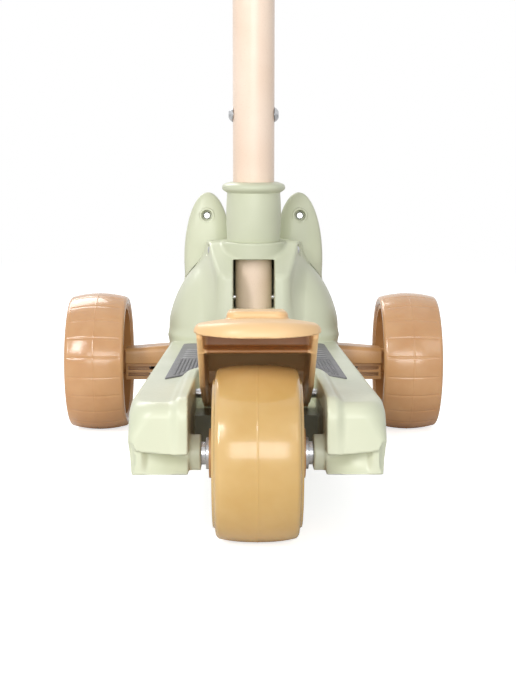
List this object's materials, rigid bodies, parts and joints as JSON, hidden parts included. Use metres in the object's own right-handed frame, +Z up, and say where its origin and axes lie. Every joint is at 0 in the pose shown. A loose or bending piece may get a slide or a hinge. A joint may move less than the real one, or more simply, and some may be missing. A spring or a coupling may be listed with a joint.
{
  "type": "kick scooter",
  "caption": "Lean-to-steer kick scooter for a small child, with a foot brake over the rear wheel, a moulded front body and a height-adjustable T-bar.",
  "frame": {"origin": "on the ground, in the middle of the overall box", "axes": "+X to the rider's right, +Y the way it travels, +Z up"},
  "size_m": [0.32, 0.53, 0.5845],
  "materials": {
    "green_shell": "satin moulded",
    "grip_mat": "ribbed matte",
    "steel_hardware": "plated",
    "spring_steel": "drawn wire",
    "bearing_steel": "ground",
    "cream_tube": "satin powder coat",
    "slide_plastic": "matte",
    "caramel_beam": "gloss moulded",
    "caramel_tyre": "glossy cast polyurethane",
    "caramel_hub": "gloss moulded",
    "apricot_pedal": "satin moulded",
    "caramel_grip": "matte",
    "grey_lever": "satin"
  },
  "bodies": {
    "deck": {"deck_shell": "green_shell", "front_cover": "green_shell", "lobe_back_left": "green_shell", "lobe_back_right": "green_shell", "cover_screws": "steel_hardware", "grip_mat": "grip_mat", "pivot_bracket": "steel_hardware", "bracket_screws": "steel_hardware", "kingpin": "steel_hardware", "kingpin_nut": "steel_hardware", "stem_post": "cream_tube", "post_bolt": "steel_hardware", "neck_bolt": "steel_hardware", "stem_collar": "green_shell", "stem_tube": "cream_tube", "stem_bolt": "steel_hardware", "stem_barrel_nut": "steel_hardware", "guide_bush": "slide_plastic", "clamp_collar": "green_shell", "clamp_bolt": "steel_hardware", "clamp_pin": "steel_hardware", "rear_axle": "steel_hardware", "rear_axle_nut": "steel_hardware", "rear_washers": "steel_hardware", "brake_pin": "steel_hardware", "brake_spring": "spring_steel", "centring_spring_left": "spring_steel", "centring_spring_right": "spring_steel"},
    "truck": {"axle_beam": "caramel_beam", "pivot_bushes": "slide_plastic", "front_axles": "steel_hardware", "front_axle_nuts": "steel_hardware", "front_washers": "steel_hardware"},
    "wheel_left": {"front_tyre_left": "caramel_tyre", "front_hub_left": "caramel_hub", "front_bearings_left": "bearing_steel", "front_spacer_left": "bearing_steel", "hub_cap_left": "caramel_hub"},
    "wheel_right": {"front_tyre_right": "caramel_tyre", "front_hub_right": "caramel_hub", "front_bearings_right": "bearing_steel", "front_spacer_right": "bearing_steel", "hub_cap_right": "caramel_hub"},
    "wheel_rear": {"rear_tyre": "caramel_tyre", "rear_hub": "caramel_hub", "rear_bearings": "bearing_steel", "rear_spacer": "bearing_steel"},
    "pedal": {"brake_pedal": "apricot_pedal"},
    "bar": {"bar_tube": "cream_tube", "foot_bush": "slide_plastic", "tee_cover": "green_shell", "handlebar": "cream_tube", "grip_left": "caramel_grip", "grip_right": "caramel_grip"},
    "lever": {"clamp_lever": "grey_lever"}
  },
  "joints": [
    {"name": "lean_steer", "type": "hinge", "parent": "deck", "child": "truck", "pos_m": [0, 0.205, 0.06], "axis": [0, 0.866, 0.5], "range_deg": [-12, 12], "stiffness_Nm_per_rad": 20, "deforming": ["centring_spring_left", "centring_spring_right"]},
    {"name": "front_left_spin", "type": "hinge", "parent": "truck", "child": "wheel_left", "pos_m": [-0.135, 0.205, 0.06], "axis": [1, 0, 0], "continuous": true},
    {"name": "front_right_spin", "type": "hinge", "parent": "truck", "child": "wheel_right", "pos_m": [0.135, 0.205, 0.06], "axis": [1, 0, 0], "continuous": true},
    {"name": "rear_spin", "type": "hinge", "parent": "deck", "child": "wheel_rear", "pos_m": [0, -0.215, 0.05], "axis": [1, 0, 0], "continuous": true},
    {"name": "brake_press", "type": "hinge", "parent": "deck", "child": "pedal", "pos_m": [0, -0.12, 0.072], "axis": [1, 0, 0], "range_deg": [0, 4], "stiffness_Nm_per_rad": 3, "springref_deg": -5.73, "deforming": ["brake_spring"]},
    {"name": "bar_height", "type": "slide", "parent": "deck", "child": "bar", "axis": [0, -0.0698, 0.9976], "range_m": [0, 0.12]},
    {"name": "clamp_lever_swing", "type": "hinge", "parent": "deck", "child": "lever", "pos_m": [-0.018, 0.122, 0.46524], "axis": [0, -0.0698, 0.9976], "range_deg": [0, 150]}
  ]
}
